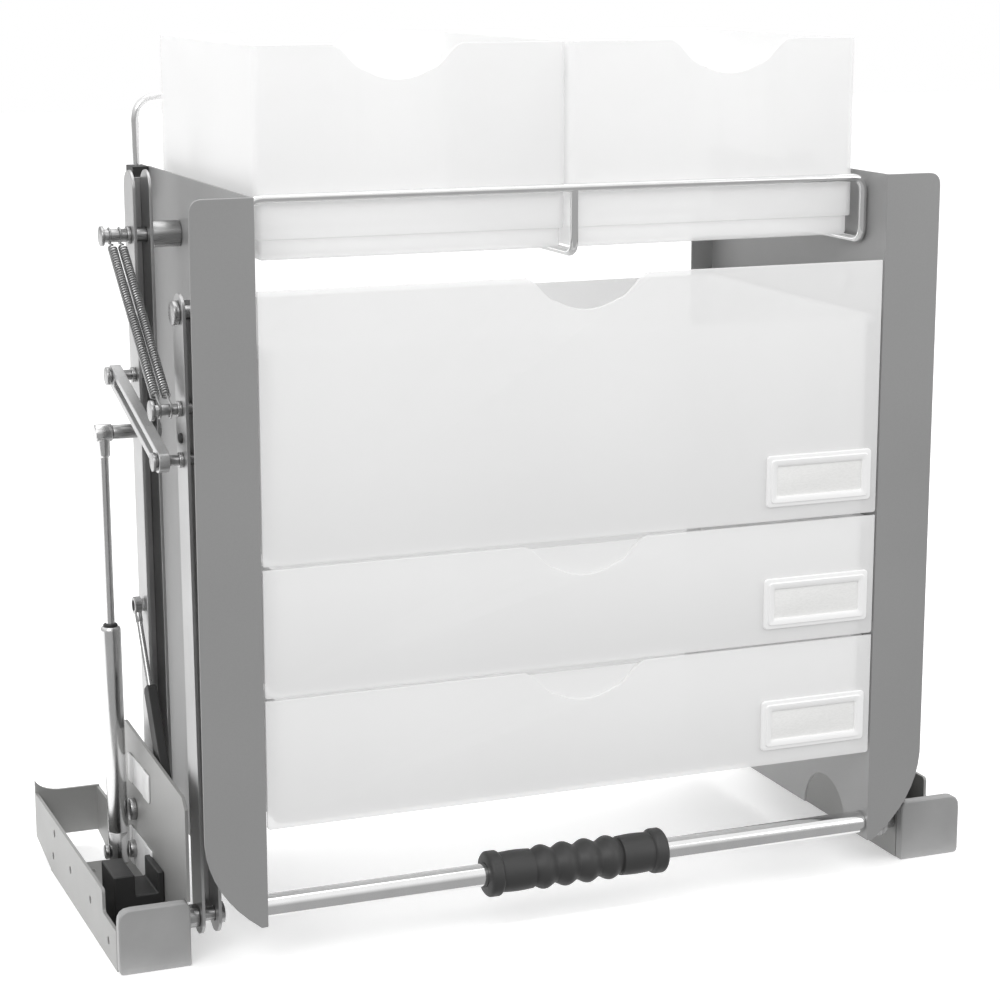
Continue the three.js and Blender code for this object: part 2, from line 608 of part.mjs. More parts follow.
function drawer({ bottom, top, sideTop }) {
  const { front, frontThickness, halfFront, half, wall, rear, lip } = DRAWER;
  const panel = prismY(notchedPanel(-halfFront, halfFront, bottom, top, 2), front, front + frontThickness, 5);
  const tray = cut(
    box(-half, half, front + frontThickness - 0.5, rear, bottom + 1, sideTop),
    box(-half + wall, half - wall, front + frontThickness, rear - wall, bottom + 1 + wall, sideTop + 1),
  );
  const lips = SIDES.map(([, side]) => box(side * (half - wall), side * lip, 10, rear, sideTop - wall, sideTop));
  return join(panel, tray, ...lips);
}

function labelHolder({ labelBottom }) {
  const { start, end, height, frame, depth } = LABEL;
  const rear = DRAWER.front - GAP;
  const whole = box(start, end, rear - depth, rear, labelBottom, labelBottom + height);
  const window = box(start + frame, end - frame, rear - depth - 1, rear - 0.8, labelBottom + frame,
    labelBottom + height - frame);
  return cut(whole, window);
}

function bin(side) {
  const { inner, outer, front, rear, bottom, step, inset, top } = BIN;
  const [x0, x1] = [Math.min(side * inner, side * outer), Math.max(side * inner, side * outer)];
  const notchX = side * 105;
  const wall = BIN_WALL;
  const upper = prismY(notchedPanel(x0, x1, bottom + step, top, notchX), front, rear, 5);
  const lower = box(x0 + inset, x1 - inset, front + inset, rear - inset, bottom, bottom + step + 1);
  const ledge = bottom + step + wall;
  const hollow = box(x0 + wall, x1 - wall, front + wall, rear - wall, ledge, top + 1);
  const well = box(x0 + inset + wall, x1 - inset - wall, front + inset + wall, rear - inset - wall,
    bottom + wall, ledge + 1);
  return cut(join(upper, lower), hollow, well);
}

// ---------------------------------------------------------------- assembly

for (const [label, side] of SIDES) {
  add(`base_frame_${label}`, BASE_STEEL, baseFrame(side));
  add(`front_cap_${label}`, GREY_PLASTIC, frontCap(side));
  add(`strut_cradle_${label}`, BLACK_PLASTIC, strutCradle(side));
  add(`strut_base_pin_${label}`, CHROME, strutBasePin(side));
  add(`front_base_bolt_${label}`, CHROME, baseBolt(side, FRONT_PIVOT));
  add(`rear_base_bolt_${label}`, CHROME, baseBolt(side, REAR_PIVOT));

  const frontArm = arm(side, FRONT_TAIL, [LINK.reach, SPRING.lowReach]);
  const damperBoss = discX(side, 0, DAMPER.reach, DAMPER.stud + 1.2, ARM.outer - 0.5, DAMPER.inner - 0.4);
  const rearArm = join(arm(side, REAR_TAIL, [LINK.reach, STRUT.reach]), damperBoss);
  add(`front_arm_${label}`, ARM_STEEL, frontArm, FRONT_PIVOT, -LEAN);
  add(`rear_arm_${label}`, ARM_STEEL, rearArm, REAR_PIVOT, -LEAN);
  add(`spring_lower_pin_${label}`, CHROME, armPin(side, SPRING_LOW, SPRING.pinEnd, 6));
  add(`link_lower_pin_${label}`, CHROME, armPin(side, LINK_LOW, LINK.pinEnd, 5.5));
  add(`link_upper_pin_${label}`, CHROME, armPin(side, LINK_HIGH, LINK.pinEnd, 5.5));
  add(`strut_top_pin_${label}`, CHROME, strutTopPin(side));
  add(`tie_link_${label}`, ARM_STEEL, tieLink(side), LINK_LOW, tiltTo(LINK_LOW, LINK_HIGH));
  SPRING.planes.forEach((plane, i) => {
    const name = `lift_spring_${label}_${['inner', 'outer'][i]}`;
    add(name, SPRING_STEEL, liftSpring(side, plane), SPRING_LOW, tiltTo(SPRING_LOW, REAR_TOP));
  });

  const strutFoot = { y: STRUT.footY, z: STRUT.footZ };
  add(`strut_cylinder_${label}`, CHROME, strutCylinder(side), strutFoot, tiltTo(strutFoot, STRUT_TOP));
  add(`strut_rod_${label}`, CHROME, strutRod(side), strutFoot, tiltTo(strutFoot, STRUT_TOP));
  const damperFoot = { y: DAMPER.footY, z: DAMPER.footZ };
  add(`damper_body_${label}`, BLACK_PLASTIC, damperBody(side), damperFoot, tiltTo(damperFoot, DAMPER_TOP));
  add(`damper_rod_${label}`, CHROME, damperRod(side), damperFoot, tiltTo(damperFoot, DAMPER_TOP));

  add(`side_plate_${label}`, GREY_STEEL, sidePlate(side));
  add(`front_carriage_bolt_${label}`, CHROME, carriageBolt(side, FRONT_TOP, HEAD_END, SHORT_END));
  add(`rear_carriage_bolt_${label}`, CHROME, carriageBolt(side, REAR_TOP, FLUSH_END, SPRING_END));
  add(`drawer_runner_${label}`, FROSTED, runnerRack(side));
  add(`wire_holder_${label}`, BLACK_PLASTIC, wireHolder(side));
  add(`bin_${label}`, FROSTED, bin(side));
}

add('bin_shelf', CHROME, binShelf());
add('rear_guard', CHROME, rearGuard());
add('handle_tube', CHROME, handleTube());
add('handle_grip', RUBBER, handleGrip());
for (const size of DRAWERS) {
  add(`drawer_${size.name}`, FROSTED, drawer(size));
  add(`label_holder_${size.name}`, CLEAR_FRAME, labelHolder(size));
}

export default model;
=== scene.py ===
"""Looks of a pull-down cabinet shelf lift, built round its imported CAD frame.

Lengths are in metres, in the frame's own axes: X across, Y to the rear, Z up. Places come from the
frame's nodes and joints; sizes written here are those of detail that the frame doesn't hold.
"""

import json
import math

import bmesh
import bpy
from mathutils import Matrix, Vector


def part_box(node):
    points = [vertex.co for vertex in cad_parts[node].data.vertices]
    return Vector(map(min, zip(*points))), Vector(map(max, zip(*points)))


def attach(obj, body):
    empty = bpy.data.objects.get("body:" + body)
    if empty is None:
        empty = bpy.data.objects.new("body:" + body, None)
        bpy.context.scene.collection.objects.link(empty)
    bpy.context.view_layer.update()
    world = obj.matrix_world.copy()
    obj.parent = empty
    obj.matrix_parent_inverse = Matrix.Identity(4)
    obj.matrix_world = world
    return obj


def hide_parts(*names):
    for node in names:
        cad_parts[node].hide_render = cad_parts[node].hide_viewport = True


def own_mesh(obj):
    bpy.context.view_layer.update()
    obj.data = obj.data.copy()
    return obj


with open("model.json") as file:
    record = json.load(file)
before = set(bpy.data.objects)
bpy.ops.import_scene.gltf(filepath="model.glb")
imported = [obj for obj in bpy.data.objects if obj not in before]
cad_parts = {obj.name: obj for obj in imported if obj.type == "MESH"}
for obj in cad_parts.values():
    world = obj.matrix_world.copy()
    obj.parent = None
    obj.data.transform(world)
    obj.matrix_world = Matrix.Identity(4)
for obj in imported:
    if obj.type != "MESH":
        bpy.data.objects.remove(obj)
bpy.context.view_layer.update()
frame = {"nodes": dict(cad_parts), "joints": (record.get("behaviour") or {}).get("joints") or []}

MM = 0.001
SIDES = (("left", -1), ("right", 1))
X_AXIS = Vector((1, 0, 0))
Z_AXIS = Vector((0, 0, 1))

SHEET_EDGE = 0.35 * MM
ARM_OUTER = 231 * MM
TALL_PLATE_OUTER = 241 * MM
WIRE_RADIUS = 2.5 * MM
FRAME_CENTRE = 126 * MM

# Painted light: a faint emission that brightens the frosted drawers, bins and label frames.
FROSTED_PAINTED_LIGHT = 0.07
FLOOR_GLOW = 0.32

CAMERA_PLACE = (-0.5946, -1.4721, 0.582)
CAMERA_TURN = 21.89
CAMERA_DIP = 12.14
CAMERA_LENS = 91.6


# ---------------------------------------------------------------- places taken from the frame

def middle(node):
    low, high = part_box(node)
    return (low + high) / 2


def place(node, x):
    """The centre of a node, moved across to x."""
    centre = middle(node)
    return Vector((x, centre.y, centre.z))


def joint(name):
    return next(j for j in frame["joints"] if j["name"] == name)


# ---------------------------------------------------------------- materials

class Finish:
    """A principled material whose colour, roughness and relief come from procedural noise."""

    def __init__(self, name, roughness, metallic=0.0, **sockets):
        self.material = bpy.data.materials.new(name)
        self.material.use_nodes = True
        self.nodes = self.material.node_tree.nodes
        self.links = self.material.node_tree.links
        self.shader = self.nodes["Principled BSDF"]
        self.shader.inputs["Roughness"].default_value = roughness
        self.shader.inputs["Metallic"].default_value = metallic
        for socket, value in sockets.items():
            self.shader.inputs[socket.replace("_", " ")].default_value = value
        self.place = self.nodes.new("ShaderNodeTexCoord").outputs["Object"]
        self.relief = None

    def noise(self, scale, stretch=(1, 1, 1), detail=3.0):
        mapping = self.nodes.new("ShaderNodeMapping")
        mapping.inputs["Scale"].default_value = stretch
        self.links.new(self.place, mapping.inputs["Vector"])
        texture = self.nodes.new("ShaderNodeTexNoise")
        texture.inputs["Scale"].default_value = scale
        texture.inputs["Detail"].default_value = detail
        self.links.new(mapping.outputs["Vector"], texture.inputs["Vector"])
        return texture.outputs["Fac"]

    def ramp(self, factor, low, high, start=0.3, end=0.7):
        ramp = self.nodes.new("ShaderNodeValToRGB")
        ramp.color_ramp.elements[0].position = start
        ramp.color_ramp.elements[1].position = end
        ramp.color_ramp.elements[0].color = (*low, 1)
        ramp.color_ramp.elements[1].color = (*high, 1)
        self.links.new(factor, ramp.inputs["Fac"])
        return ramp.outputs["Color"]

    def multiply(self, first, second):
        mix = self.nodes.new("ShaderNodeMix")
        mix.data_type = "RGBA"
        mix.blend_type = "MULTIPLY"
        mix.inputs["Factor"].default_value = 1.0
        self.links.new(first, mix.inputs["A"])
        self.links.new(second, mix.inputs["B"])
        return mix.outputs["Result"]

    def colour(self, output):
        self.links.new(output, self.shader.inputs["Base Color"])
        return self

    def roughen(self, factor, low, high):
        spread = self.nodes.new("ShaderNodeMapRange")
        spread.inputs["To Min"].default_value = low
        spread.inputs["To Max"].default_value = high
        self.links.new(factor, spread.inputs["Value"])
        self.links.new(spread.outputs["Result"], self.shader.inputs["Roughness"])
        return self

    def glow(self, strength):
        self.shader.inputs["Emission Color"].default_value = (1, 1, 1, 1)
        self.shader.inputs["Emission Strength"].default_value = strength
        return self

    def bump(self, height, strength, distance):
        bump = self.nodes.new("ShaderNodeBump")
        bump.inputs["Strength"].default_value = strength
        bump.inputs["Distance"].default_value = distance
        self.links.new(height, bump.inputs["Height"])
        if self.relief:
            self.links.new(self.relief, bump.inputs["Normal"])
        self.relief = bump.outputs["Normal"]
        self.links.new(self.relief, self.shader.inputs["Normal"])
        return self


def shade(value, spread=0.0, tint=(1.0, 1.0, 1.0)):
    """A pair of near-grey colours, a little darker and a little lighter than value."""
    dark = tuple(value * (1 - spread) * t for t in tint)
    light = tuple(min(value * (1 + spread) * t, 1.0) for t in tint)
    return dark, light


def painted(name, value, roughness, tint=(1, 1, 1)):
    """Satin powder coat: a fine orange peel and slow changes of tone."""
    finish = Finish(name, roughness, 0.25)
    tone = finish.ramp(finish.noise(9, detail=2), *shade(value, 0.025, tint))
    speck = finish.ramp(finish.noise(1400, detail=1), *shade(0.985, 0.015))
    finish.colour(finish.multiply(tone, speck))
    finish.roughen(finish.noise(40), roughness - 0.05, roughness + 0.06)
    finish.bump(finish.noise(700, detail=2), 0.12, 0.05 * MM)
    return finish.material


def brushed(name, value, roughness, along, metallic=0.85):
    """Zinc-plated steel, drawn along one axis, with faint clouding."""
    finish = Finish(name, roughness, metallic)
    stretch = tuple(0.02 if axis == along else 1.0 for axis in "xyz")
    grain = finish.noise(1600, stretch, 4)
    streaks = finish.ramp(grain, *shade(0.93, 0.06))
    cloud = finish.ramp(finish.noise(22, detail=4), *shade(value, 0.07))
    finish.colour(finish.multiply(cloud, streaks))
    finish.roughen(grain, roughness - 0.08, roughness + 0.1)
    finish.bump(grain, 0.15, 0.03 * MM)
    return finish.material


def chromed(name, value=0.86, roughness=0.07):
    """Bright plating with soft handling marks."""
    finish = Finish(name, roughness, 1.0)
    marks = finish.noise(60, (1, 1, 0.4), 5)
    finish.colour(finish.ramp(marks, *shade(value, 0.03)))
    finish.roughen(marks, roughness * 0.6, roughness * 2.2)
    finish.bump(finish.noise(300), 0.03, 0.02 * MM)
    return finish.material


def moulded(name, value, roughness, grain=900, depth=0.04, tint=(1, 1, 1), **sockets):
    """Moulded plastic or rubber with a fine spark-eroded grain."""
    finish = Finish(name, roughness, **sockets)
    finish.colour(finish.ramp(finish.noise(30, detail=4), *shade(value, 0.08, tint)))
    finish.roughen(finish.noise(120), roughness - 0.06, roughness + 0.08)
    finish.bump(finish.noise(grain, detail=2), 0.25, depth * MM)
    return finish.material


def frosted(name, value, alpha):
    """Frosted polypropylene: milky, with flow marks and an etched surface, and a faint glow of painted
    light that brightens it.
    """
    finish = Finish(name, 0.42, Alpha=alpha)
    # Painted light: a faint emission makes the plastic brighter than the lamps alone would.
    finish.glow(FROSTED_PAINTED_LIGHT)
    flow = finish.noise(7, (1, 1, 0.35), 3)
    finish.colour(finish.ramp(flow, *shade(value, 0.012)))
    finish.roughen(finish.noise(55), 0.36, 0.5)
    finish.bump(finish.noise(1500, detail=1), 0.08, 0.03 * MM)
    return finish.material


def paper(name):
    finish = Finish(name, 0.8)
    fibres = finish.noise(500, (1, 1, 3), 5)
    finish.colour(finish.ramp(fibres, (0.9, 0.9, 0.89), (0.97, 0.97, 0.96)))
    finish.bump(fibres, 0.1, 0.03 * MM)
    return finish.material


PLATE_PAINT = painted("side_plate_paint", 0.35, 0.42)
BASE_PAINT = painted("floor_frame_paint", 0.35, 0.4, (1, 1, 0.985))
CAP_PLASTIC = moulded("cap_plastic", 0.36, 0.34, grain=600, depth=0.03)
ARM_METAL = brushed("arm_zinc", 0.52, 0.34, "z")
LINK_METAL = brushed("link_zinc", 0.6, 0.3, "y")
PIN_METAL = brushed("pin_zinc", 0.45, 0.28, "x", 0.95)
SPRING_METAL = brushed("spring_wire", 0.42, 0.3, "x", 0.95)
CHROME = chromed("wire_chrome")
STRUT_CHROME = chromed("strut_chrome", 0.74, 0.16)
BLACK_PLASTIC = moulded("black_plastic", 0.022, 0.45)
RUBBER = moulded("grip_rubber", 0.042, 0.5, grain=1300, depth=0.05)
FROSTED = frosted("frosted_plastic", 0.92, 0.58)
RUNNER_PLASTIC = moulded("runner_plastic", 0.8, 0.45)
LABEL_FRAME = frosted("label_frame", 0.96, 0.8)
PAPER = paper("label_card")
DARK_STEEL = brushed("blackened_steel", 0.05, 0.4, "x", 0.6)


# ---------------------------------------------------------------- mesh helpers

def add_piece(name, mesh_data, material, body, nodes, smooth=38):
    """Turns a bmesh into a piece that rides on a body and stands for CAD nodes."""
    bmesh.ops.remove_doubles(mesh_data, verts=mesh_data.verts, dist=1e-7)
    bmesh.ops.recalc_face_normals(mesh_data, faces=mesh_data.faces)
    mesh = bpy.data.meshes.new(name)
    mesh_data.to_mesh(mesh)
    mesh_data.free()
    mesh.materials.append(material)
    mesh.shade_smooth()
    mesh.set_sharp_from_angle(angle=math.radians(smooth))
    piece = bpy.data.objects.new(name, mesh)
    bpy.context.scene.collection.objects.link(piece)
    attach(piece, body)
    if nodes:
        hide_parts(*nodes)
    return piece


def loft(bm, rings, closed=False, caps=True):
    """Joins rings of the same count. A closed loft joins the last to the first; an open one gets caps."""
    loops = [[bm.verts.new(point) for point in ring] for ring in rings]
    pairs = list(zip(loops, loops[1:]))
    if closed:
        pairs.append((loops[-1], loops[0]))
    for first, second in pairs:
        for i in range(len(first)):
            j = (i + 1) % len(first)
            bm.faces.new((first[i], first[j], second[j], second[i]))
    if caps and not closed:
        bm.faces.new(loops[0][::-1])
        bm.faces.new(loops[-1])
    return bm


def lathe(bm, origin, axis, profile, closed=False, segments=40):
    """Turns a profile of (along, radius) pairs about an axis."""
    axis = Vector(axis).normalized()
    across = axis.orthogonal().normalized()
    other = axis.cross(across)
    rings = []
    for along, radius in profile:
        centre = origin + axis * along
        angles = [2 * math.pi * i / segments for i in range(segments)]
        rings.append([centre + (across * math.cos(a) + other * math.sin(a)) * radius for a in angles])
    return loft(bm, rings, closed)


def tube(bm, path, radius, sides=16):
    """Sweeps a circle along a path of points, without twist."""
    path = [Vector(point) for point in path]
    tangents = []
    for i in range(len(path)):
        tangents.append((path[min(i + 1, len(path) - 1)] - path[max(i - 1, 0)]).normalized())
    across = tangents[0].orthogonal().normalized()
    rings = []
    for point, tangent in zip(path, tangents):
        across = (across - tangent * across.dot(tangent)).normalized()
        other = tangent.cross(across)
        angles = [2 * math.pi * i / sides for i in range(sides)]
        rings.append([point + (across * math.cos(a) + other * math.sin(a)) * radius for a in angles])
    return loft(bm, rings)


def bent(corners, radius, steps=8):
    """A path through the corners, with each inner corner rounded."""
    corners = [Vector(corner) for corner in corners]
    path = [corners[0]]
    for before, corner, after in zip(corners, corners[1:], corners[2:]):
        start = corner + (before - corner).normalized() * radius
        end = corner + (after - corner).normalized() * radius
        for i in range(steps + 1):
            t = i / steps
            path.append(start * (1 - t) ** 2 + corner * 2 * t * (1 - t) + end * t * t)
    path.append(corners[-1])
    return path


def eased(low, high, edge):
    """Lengths and insets that round both ends of a span: (position, inset) pairs."""
    steps = [(0.0, 1.0), (0.3, 0.3), (1.0, 0.0)]
    start = [(low + a * edge, b * edge) for a, b in steps]
    end = [(high - a * edge, b * edge) for a, b in reversed(steps)]
    return start + end


def rounded_rectangle(x0, x1, y0, y1, radius, corner_steps=6, side_steps=1):
    """Points round a rectangle, anticlockwise from the right end of the low side."""
    corners = [(x1 - radius, y0 + radius, -90), (x1 - radius, y1 - radius, 0),
               (x0 + radius, y1 - radius, 90), (x0 + radius, y0 + radius, 180)]
    points = []
    for k, (cx, cy, start) in enumerate(corners):
        for i in range(corner_steps + 1):
            angle = math.radians(start + 90 * i / corner_steps)
            points.append((cx + radius * math.cos(angle), cy + radius * math.sin(angle)))
        nx, ny, next_start = corners[(k + 1) % 4]
        angle = math.radians(next_start)
        end = (nx + radius * math.cos(angle), ny + radius * math.sin(angle))
        last = points[-1]
        for i in range(1, side_steps):
            t = i / side_steps
            points.append((last[0] + (end[0] - last[0]) * t, last[1] + (end[1] - last[1]) * t))
    return points


def refined(node, material, body, edge=SHEET_EDGE, join_faces=True):
    """A CAD node's own shape with its edges rounded, and its flat faces joined up first if asked."""
    bm = bmesh.new()
    bm.from_mesh(frame["nodes"][node].data)
    bmesh.ops.remove_doubles(bm, verts=bm.verts, dist=2e-6)
    if join_faces:
        bmesh.ops.dissolve_limit(bm, angle_limit=math.radians(0.8), verts=bm.verts, edges=bm.edges)
    piece = add_piece(f"{node}_shape", bm, material, body, [node])
    bevel = piece.modifiers.new("rounded_edges", "BEVEL")
    bevel.width = edge
    bevel.segments = 2
    bevel.limit_method = "ANGLE"
    bevel.angle_limit = math.radians(40)
    bevel.miter_outer = "MITER_ARC"
    normals = piece.modifiers.new("flat_normals", "WEIGHTED_NORMAL")
    normals.keep_sharp = True
    return piece


# ---------------------------------------------------------------- floor frames and arms

# Turned parts are lists of (from, to, radius) stretches, in millimetres out from the lift's middle.
TURNED_EDGE = 0.4
BASE_BOLT = [(215.4, 218.7, 6.5), (218.7, 231.3, 4), (231.3, 238.7, 7), (238.7, 241.3, 4),
             (241.3, 244.8, 7)]
FRONT_CARRIAGE_BOLT = [(195.8, 198.7, 7), (198.7, 200.8, 4), (200.8, 218.7, 8), (218.7, 231.3, 4),
                       (231.3, 234.6, 7)]
REAR_CARRIAGE_BOLT = [(199, 200.8, 4), (200.8, 218.7, 8), (218.7, 231.3, 4), (231.3, 233.2, 5.5),
                      (233.2, 247.2, 4), (247.2, 249.2, 6)]
SPRING_PIN = [(216.5, 218.7, 5), (218.7, 231.3, 3.2), (231.3, 233.4, 4.6), (233.4, 246.8, 3.2),
              (246.8, 249.2, 6)]
LINK_PIN = [(216.5, 218.7, 5), (218.7, 231.3, 3.2), (231.3, 233.4, 4.6), (233.4, 246.6, 3.2),
            (246.6, 249, 5.5)]
STRUT_TOP_PIN = [(216.5, 218.7, 5), (218.7, 231.3, 3.2), (231.3, 246.3, 4.4)]
STRUT_BASE_PIN_INNER = [(236.7, 238.7, 5), (238.7, 241.3, 3), (241.3, 245.3, 5.5)]
STRUT_BASE_PIN_OUTER = [(258.7, 260.9, 4.6)]

TURNED = (
    ("front_base_bolt", BASE_BOLT, "floor_frames"), ("rear_base_bolt", BASE_BOLT, "floor_frames"),
    ("spring_lower_pin", SPRING_PIN, "front_arms"), ("link_lower_pin", LINK_PIN, "front_arms"),
    ("link_upper_pin", LINK_PIN, "rear_arms"), ("strut_top_pin", STRUT_TOP_PIN, "rear_arms"),
    ("front_carriage_bolt", FRONT_CARRIAGE_BOLT, "carriage"),
    ("rear_carriage_bolt", REAR_CARRIAGE_BOLT, "carriage"),
)


def turned_part(bm, origin, axis, stretches):
    """A turned part with eased edges."""
    profile = []
    for start, end, radius in stretches:
        edge = min(TURNED_EDGE, (end - start) / 3) * MM
        outline = eased(start * MM, end * MM, edge)
        profile += [(position, radius * MM - inset) for position, inset in outline]
    return lathe(bm, origin, axis, profile, segments=36)


def strut_base_pin(label, side):
    """The strut's foot pin, drawn up to each side of the strut that it passes through."""
    node = f"strut_base_pin_{label}"
    bm = turned_part(bmesh.new(), place(node, 0), X_AXIS * side, STRUT_BASE_PIN_INNER)
    turned_part(bm, place(node, 0), X_AXIS * side, STRUT_BASE_PIN_OUTER)
    add_piece(f"{node}_turned", bm, PIN_METAL, "floor_frames", [node])


for label, side in SIDES:
    refined(f"base_frame_{label}", BASE_PAINT, "floor_frames", join_faces=False)
    refined(f"front_cap_{label}", CAP_PLASTIC, "floor_frames", edge=0.9 * MM)
    refined(f"strut_cradle_{label}", BLACK_PLASTIC, "floor_frames", edge=0.8 * MM)
    refined(f"front_arm_{label}", ARM_METAL, "front_arms", edge=0.6 * MM)
    refined(f"rear_arm_{label}", ARM_METAL, "rear_arms", edge=0.6 * MM)
    refined(f"tie_link_{label}", LINK_METAL, "tie_links", edge=0.5 * MM)
    refined(f"side_plate_{label}", PLATE_PAINT, "carriage", edge=0.45 * MM)
    refined(f"drawer_runner_{label}", RUNNER_PLASTIC, "carriage", edge=0.4 * MM)
    refined(f"wire_holder_{label}", BLACK_PLASTIC, "carriage", edge=0.8 * MM)
    refined(f"damper_body_{label}", BLACK_PLASTIC, "damper_bodies", edge=0.5 * MM)
    for node, steps, body in TURNED:
        bolt = turned_part(bmesh.new(), place(f"{node}_{label}", 0), X_AXIS * side, steps)
        add_piece(f"{node}_{label}_turned", bolt, PIN_METAL, body, [f"{node}_{label}"])
    strut_base_pin(label, side)


# ---------------------------------------------------------------- small fittings

# Front, rear, bottom and top of each wear pad, in millimetres from the front flange and the floor.
WEAR_PADS = ((106, 158, 74, 92), (104, 159, 20, 44))
PAD_HEIGHT, RIDGE_HEIGHT = 0.5, 1.1
FRONT_RIDGE, REAR_RIDGE = 15, 10
FITTING_GAP = 0.05 * MM
ARM_SCREW_BELOW = 17 * MM
ARM_SCREW_RADIUS = 3.2 * MM


def wear_pad(bm, side, front, rear, bottom, top):
    """A thin upright pad on the tall plate, with two raised ridges."""
    face = TALL_PLATE_OUTER + FITTING_GAP
    strips = ((front, rear, PAD_HEIGHT), (front, front + FRONT_RIDGE, RIDGE_HEIGHT),
              (rear - REAR_RIDGE, rear, RIDGE_HEIGHT))
    for start, end, height in strips:
        rings = []
        for x, inset in eased(face, face + height * MM, 0.2 * MM):
            outline = rounded_rectangle(start * MM + inset, end * MM - inset, bottom * MM + inset,
                                        top * MM - inset, 1.2 * MM, 4)
            rings.append([Vector((side * x, y - FRAME_CENTRE, z)) for y, z in outline])
        loft(bm, rings)


def pan_screw(name, body, centre, side, radius):
    """A small blackened pan-head screw on an outer face."""
    bm = bmesh.new()
    head = [(FITTING_GAP, radius), (0.8 * MM, radius), (1.5 * MM, radius * 0.8), (1.8 * MM, radius * 0.45)]
    lathe(bm, centre, X_AXIS * side, head, segments=28)
    add_piece(name, bm, DARK_STEEL, body, [])


for label, side in SIDES:
    pads = bmesh.new()
    for pad in WEAR_PADS:
        wear_pad(pads, side, *pad)
    add_piece(f"wear_pads_{label}", pads, RUNNER_PLASTIC, "floor_frames", [])
    for pin, body in (("spring_lower_pin", "front_arms"), ("link_upper_pin", "rear_arms")):
        centre = place(f"{pin}_{label}", side * ARM_OUTER) - Z_AXIS * ARM_SCREW_BELOW
        pan_screw(f"{pin}_screw_{label}", body, centre, side, ARM_SCREW_RADIUS)


# ---------------------------------------------------------------- springs, struts and dampers

COIL_PITCH = 1.9 * MM
COIL_WIRE = 0.6 * MM
COIL_RADIUS = 2.35 * MM
COIL_STEPS = 12
COIL_INSET = 10 * MM
HOOK_RADIUS = 4.7 * MM
HOOK_POINTS = 10
HOOK_STEP = 27
LOWER_HOOK_START, UPPER_HOOK_START = -210, -60


def spring_path(start, end):
    """A hook round each pin and the coil between them."""
    axis = (end - start).normalized()
    out = X_AXIS.cross(axis).normalized()
    length = (end - start).length
    path = []
    for i in range(HOOK_POINTS):
        angle = math.radians(LOWER_HOOK_START + HOOK_STEP * i)
        path.append(start + (axis * math.sin(angle) + out * math.cos(angle)) * HOOK_RADIUS)
    first, last = COIL_INSET, length - COIL_INSET
    turns = round((last - first) / COIL_PITCH)
    for i in range(turns * COIL_STEPS + 1):
        angle = 2 * math.pi * i / COIL_STEPS
        along = first + (last - first) * i / (turns * COIL_STEPS)
        path.append(start + axis * along + (X_AXIS * math.sin(angle) + out * math.cos(angle)) * COIL_RADIUS)
    for i in range(HOOK_POINTS):
        angle = math.radians(UPPER_HOOK_START + HOOK_STEP * i)
        path.append(end - (axis * math.cos(angle) - out * math.sin(angle)) * HOOK_RADIUS)
    return path


def lift_spring(label, kind):
    node = f"lift_spring_{label}_{kind}"
    x = middle(node).x
    start = place(f"spring_lower_pin_{label}", x)
    end = place(f"rear_carriage_bolt_{label}", x)
    bm = tube(bmesh.new(), spring_path(start, end), COIL_WIRE, sides=7)
    piece = add_piece(f"{node}_coil", bm, SPRING_METAL, "lift_springs", [node])
    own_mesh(piece)


def spring_keep():
    """Length of a lift spring at the end of the swing, as a share of its length at rest."""
    low = place("spring_lower_pin_left", 0)
    top = place("rear_carriage_bolt_left", 0)
    swing = math.radians(joint("lift_swing")["range_deg"][1])
    front = Vector(joint("lift_swing")["pos_m"])
    rear = Vector(joint("rear_arm_swing")["pos_m"])

    def swung(point, pivot):
        y, z = point.y - pivot.y, point.z - pivot.z
        return Vector((0, pivot.y + y * math.cos(swing) - z * math.sin(swing),
                       pivot.z + y * math.sin(swing) + z * math.cos(swing)))

    return (swung(top, rear) - swung(low, front)).length / (top - low).length


SPRING_KEEP = spring_keep()


def scaled(pairs):
    """A profile given in millimetres, in metres."""
    return [(along * MM, radius * MM) for along, radius in pairs]


STRUT_BARREL = [(-9, 4.2), (-8.6, 5.2), (-7.5, 6), (-6.4, 6.3), (12, 6.3), (12.5, 6), (13.5, 6), (14, 6.3),
                (142, 6.3), (143.4, 6.05), (144.2, 5.4), (144.5, 4.4), (144.5, 3.2), (118, 3.2)]
STRUT_SEAL = [(143.7, 3.15), (143.7, 4.6), (145.7, 4.4), (146.3, 3.6), (146.3, 2.9)]
STRUT_ROD_START = 56
STRUT_SOCKET = 5.4 * MM


def gas_strut(label):
    x = middle(f"strut_cylinder_{label}").x
    foot = place(f"strut_base_pin_{label}", x)
    head = place(f"strut_top_pin_{label}", x)
    axis = (head - foot).normalized()
    length = (head - foot).length

    bm = lathe(bmesh.new(), foot, axis, scaled(STRUT_BARREL), segments=48)
    add_piece(f"strut_cylinder_{label}_turned", bm, STRUT_CHROME, "strut_cylinders",
              [f"strut_cylinder_{label}"])

    bm = lathe(bmesh.new(), foot, axis, scaled(STRUT_SEAL), segments=40)
    add_piece(f"strut_seal_{label}", bm, BLACK_PLASTIC, "strut_cylinders", [])

    bm = bmesh.new()
    top = length / MM
    shaft = [(STRUT_ROD_START, 2.8), (top - 15, 2.8), (top - 14.5, 3.4), (top - 13.6, 4), (top - 3, 4)]
    lathe(bm, foot, axis, scaled(shaft), segments=36)
    rounding = eased(-STRUT_SOCKET, STRUT_SOCKET, 1.0 * MM)
    lathe(bm, head, X_AXIS, [(position, STRUT_SOCKET - inset) for position, inset in rounding])
    add_piece(f"strut_rod_{label}_turned", bm, STRUT_CHROME, "strut_rods",
              [f"strut_rod_{label}"])


DAMPER_EYE = 5.5 * MM
DAMPER_EYE_HALF = 2.2 * MM
DAMPER_ROD_START = 46 * MM
DAMPER_ROD_RADIUS = 1.8 * MM


